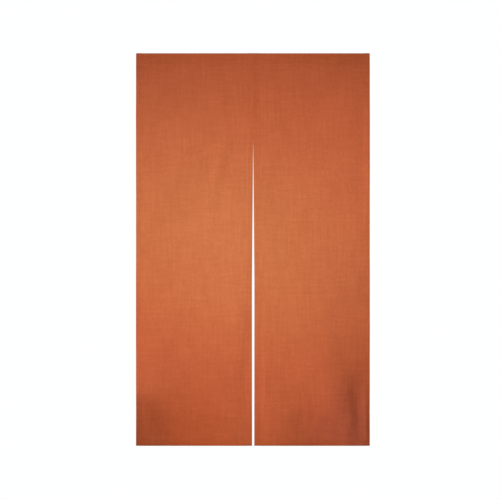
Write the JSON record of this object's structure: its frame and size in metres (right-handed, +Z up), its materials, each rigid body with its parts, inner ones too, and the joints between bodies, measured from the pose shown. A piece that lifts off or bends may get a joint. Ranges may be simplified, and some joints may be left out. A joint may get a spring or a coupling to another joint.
{
  "type": "noren curtain",
  "caption": "Doorway curtain of plain woven linen panels sewn together at the top, with a central slit below and a turned-over pocket for a rod.",
  "frame": {"origin": "middle of the curtain's top edge, over the pocket that the rod goes through", "axes": "+X to the right as seen from the front, -Y towards the viewer, +Z up"},
  "size_m": [0.8938, 0.0392, 1.5],
  "materials": {
    "terracotta_linen": "matt plain weave"
  },
  "bodies": {
    "root": {"left_panel": "terracotta_linen", "right_panel": "terracotta_linen"}
  },
  "joints": []
}
